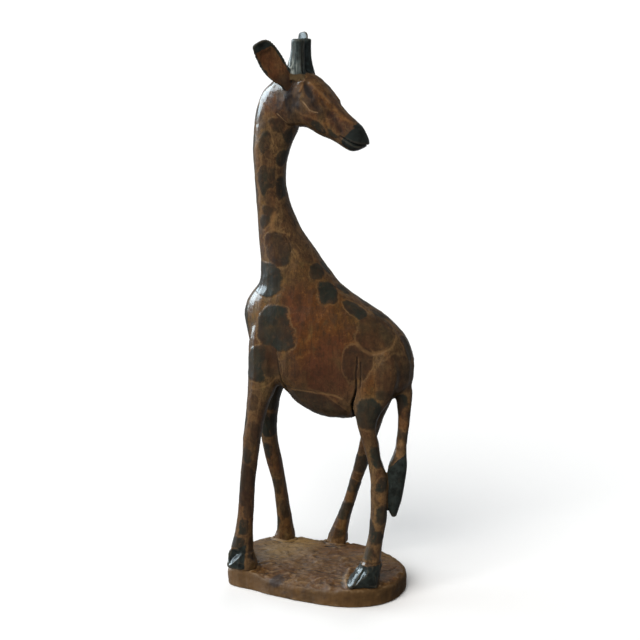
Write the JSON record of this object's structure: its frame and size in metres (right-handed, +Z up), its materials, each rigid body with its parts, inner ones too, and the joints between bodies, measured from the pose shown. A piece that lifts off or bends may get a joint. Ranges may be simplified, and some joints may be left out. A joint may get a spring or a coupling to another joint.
{
  "type": "carved giraffe statue",
  "caption": "Hand-carved, painted and lacquered wooden giraffe looking back over its body, standing on a rough oval plinth.",
  "frame": {"origin": "centre of the plinth's flat underside", "axes": "+Z up through the horns, the chest faces -X and the tail +X, the giraffe's left side is -Y"},
  "size_m": [0.1879, 0.1254, 0.5706],
  "materials": {
    "lacquered_wood": "brown carved wood scorched with dark patches, glossy lacquer",
    "black_stained_wood": "black stained wood, glossy lacquer",
    "raw_base_wood": "bare adzed wood, matt, with grain and small cracks"
  },
  "bodies": {
    "root": {"plinth": "raw_base_wood", "trunk": "lacquered_wood", "neck": "lacquered_wood", "head": "lacquered_wood", "ear_left": "lacquered_wood", "ear_right": "lacquered_wood", "horn_left": "black_stained_wood", "horn_right": "black_stained_wood", "foreleg_left": "lacquered_wood", "foreleg_right": "lacquered_wood", "hindleg_left": "lacquered_wood", "hindleg_right": "lacquered_wood", "tail": "lacquered_wood"}
  },
  "joints": []
}
